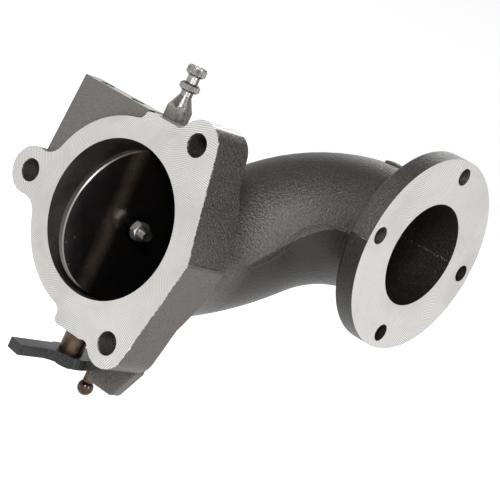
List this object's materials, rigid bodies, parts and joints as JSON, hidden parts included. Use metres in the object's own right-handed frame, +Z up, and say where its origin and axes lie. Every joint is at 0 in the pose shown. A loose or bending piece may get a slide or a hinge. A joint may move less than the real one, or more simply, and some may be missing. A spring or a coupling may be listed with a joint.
{
  "type": "exhaust brake",
  "caption": "Cast exhaust brake housing with a butterfly valve, operating lever, lubricator, gooseneck elbow and round pipe flange.",
  "frame": {"origin": "centre of the valve bore on the machined face of the three-lug valve flange", "axes": "-Y out of the valve flange, +X out of the round pipe flange, +Z up along the butterfly shaft towards the lubricator"},
  "size_m": [0.188, 0.2265, 0.2126],
  "materials": {
    "cast_iron": "sand-cast skin with milled faces",
    "bush_bronze": "satin",
    "graphite": "matt",
    "shaft_steel": "heat tinted",
    "disc_steel": "dark, turned rim",
    "bright_steel": "zinc plated",
    "lever_steel": "dark phosphate",
    "ball_bronze": "browned",
    "turned_steel": "turned and knurled"
  },
  "bodies": {
    "housing": {"housing_casting": "cast_iron", "upper_bushing": "bush_bronze", "lower_bushing": "bush_bronze", "shaft_seal_ring": "graphite", "seal_retainer": "bright_steel", "lubricator_body": "turned_steel", "lubricator_cap": "turned_steel"},
    "rotor": {"thrust_washer": "bush_bronze", "valve_shaft": "shaft_steel", "butterfly_disc": "disc_steel", "disc_bolt": "bright_steel", "disc_washer": "bright_steel", "disc_lock_washer": "bright_steel", "disc_nut": "bright_steel", "disc_dowel_pins": "bright_steel", "operating_lever": "lever_steel", "shaft_retaining_ring": "lever_steel", "ball_stud": "ball_bronze", "ball_stud_washer": "bright_steel", "ball_stud_nut": "bright_steel"}
  },
  "joints": [
    {"name": "valve_turn", "type": "hinge", "parent": "housing", "child": "rotor", "pos_m": [0, 0.0162, 0], "axis": [0, 0, 1], "range_deg": [0, 90]}
  ]
}
